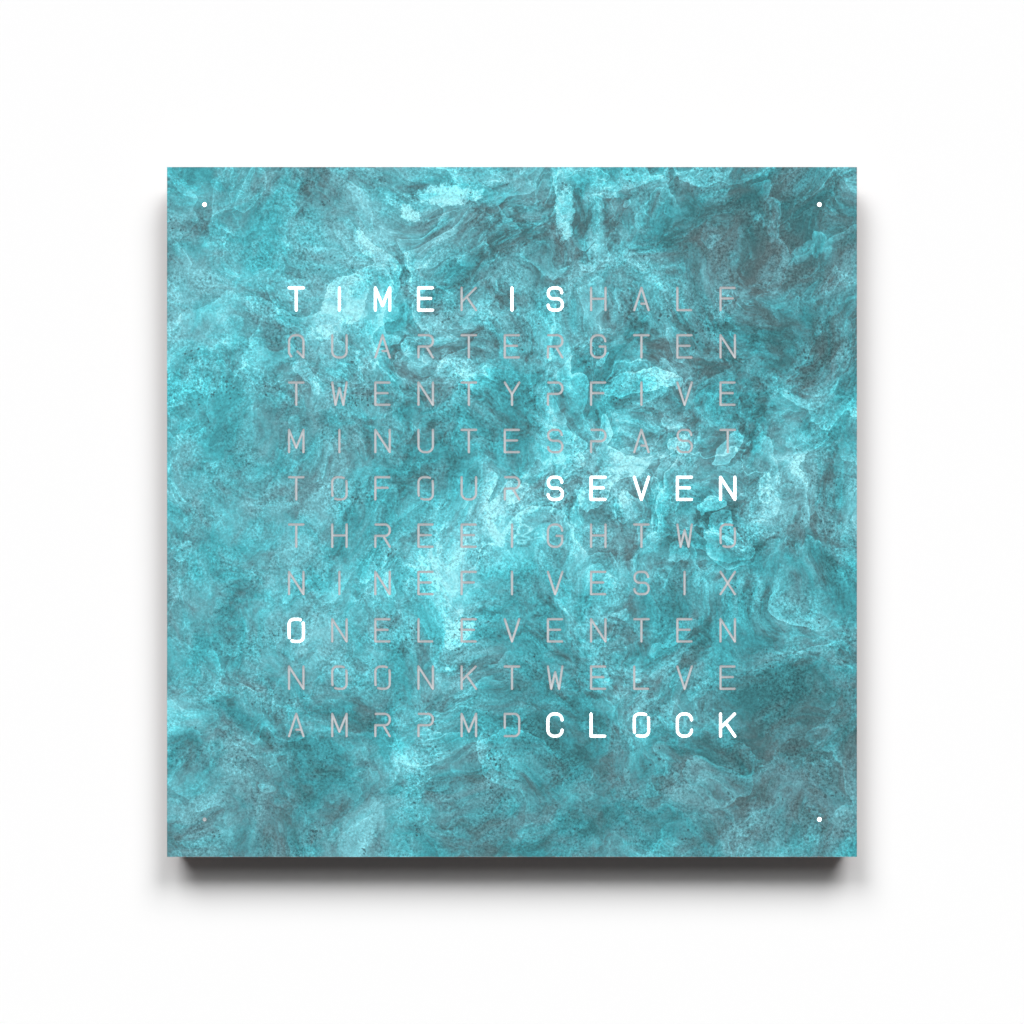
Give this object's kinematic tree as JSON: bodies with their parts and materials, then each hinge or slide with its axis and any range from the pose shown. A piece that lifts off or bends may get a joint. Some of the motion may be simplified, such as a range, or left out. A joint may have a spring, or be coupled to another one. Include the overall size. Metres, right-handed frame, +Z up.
{
  "type": "word clock",
  "caption": "Square wall clock: a patinated copper sheet with a stencil grid of letters lit from behind to spell the time, and a minute dot in each corner.",
  "frame": {"origin": "middle of the rear face, in the wall's plane", "axes": "+X to the viewer's right, +Y into the wall, +Z up; the front faces -Y"},
  "size_m": [0.45, 0.02, 0.45],
  "materials": {
    "patinated_copper": "copper sheet with a turquoise verdigris patina, satin",
    "zinc_steel": "zinc plated",
    "lacquered_mdf": "matt black lacquer",
    "nickel_magnet": "nickel plated",
    "anodised_panel": "black anodised, satin",
    "black_screw": "black oxide",
    "rivet_aluminium": "bare",
    "solder_mask": "green solder mask on glass epoxy",
    "lamp_package": "moulded white",
    "chip_epoxy": "moulded epoxy",
    "white_foam_board": "routed white board",
    "opal_acrylic": "opal acrylic, satin",
    "brass_turned": "turned",
    "black_nylon": "moulded",
    "cell_steel": "bright",
    "button_abs": "moulded, satin",
    "plunger_nylon": "moulded",
    "clear_acrylic": "polished",
    "ferrite": "fired, matt",
    "copper_winding": "enamelled wire",
    "cable_pvc": "grey flat cable"
  },
  "bodies": {
    "clock": {"housing_frame": "lacquered_mdf", "cover_magnets": "nickel_magnet", "back_panel": "anodised_panel", "panel_screws": "black_screw", "hanger_plates": "zinc_steel", "hanger_rivets": "rivet_aluminium", "led_board": "solder_mask", "leds": "lamp_package", "led_drivers": "chip_epoxy", "light_grid": "white_foam_board", "board_screws": "black_screw", "diffuser_sheet": "opal_acrylic", "controller_board": "solder_mask", "standoffs": "brass_turned", "controller_screws": "black_screw", "processor": "chip_epoxy", "clock_chip": "chip_epoxy", "header_plug": "black_nylon", "header_socket": "black_nylon", "coin_cell_holder": "black_nylon", "coin_cell": "cell_steel", "power_socket": "black_nylon", "power_socket_pin": "brass_turned", "button_switches": "black_nylon", "light_sensor": "chip_epoxy", "sensor_light_pipe": "clear_acrylic", "ferrite_rod": "ferrite", "antenna_coil": "copper_winding", "antenna_clips": "black_nylon", "radio_board": "solder_mask", "radio_connector": "black_nylon", "radio_cable": "cable_pvc"},
    "front_cover": {"front_cover": "patinated_copper", "catch_strips": "zinc_steel"},
    "mode_button": {"mode_button": "button_abs", "mode_plunger": "plunger_nylon"},
    "hour_button": {"hour_button": "button_abs", "hour_plunger": "plunger_nylon"},
    "minute_button": {"minute_button": "button_abs", "minute_plunger": "plunger_nylon"}
  },
  "joints": [
    {"name": "cover_lift_off", "type": "slide", "parent": "clock", "child": "front_cover", "axis": [0, -1, 0], "range_m": [0, 0.06]},
    {"name": "mode_press", "type": "slide", "parent": "clock", "child": "mode_button", "axis": [0, 0, 1], "range_m": [0, 0.0005], "stiffness_N_per_m": 1500, "springref_m": -0.0004},
    {"name": "hour_press", "type": "slide", "parent": "clock", "child": "hour_button", "axis": [0, 0, 1], "range_m": [0, 0.0005], "stiffness_N_per_m": 1500, "springref_m": -0.0004},
    {"name": "minute_press", "type": "slide", "parent": "clock", "child": "minute_button", "axis": [0, 0, 1], "range_m": [0, 0.0005], "stiffness_N_per_m": 1500, "springref_m": -0.0004}
  ]
}
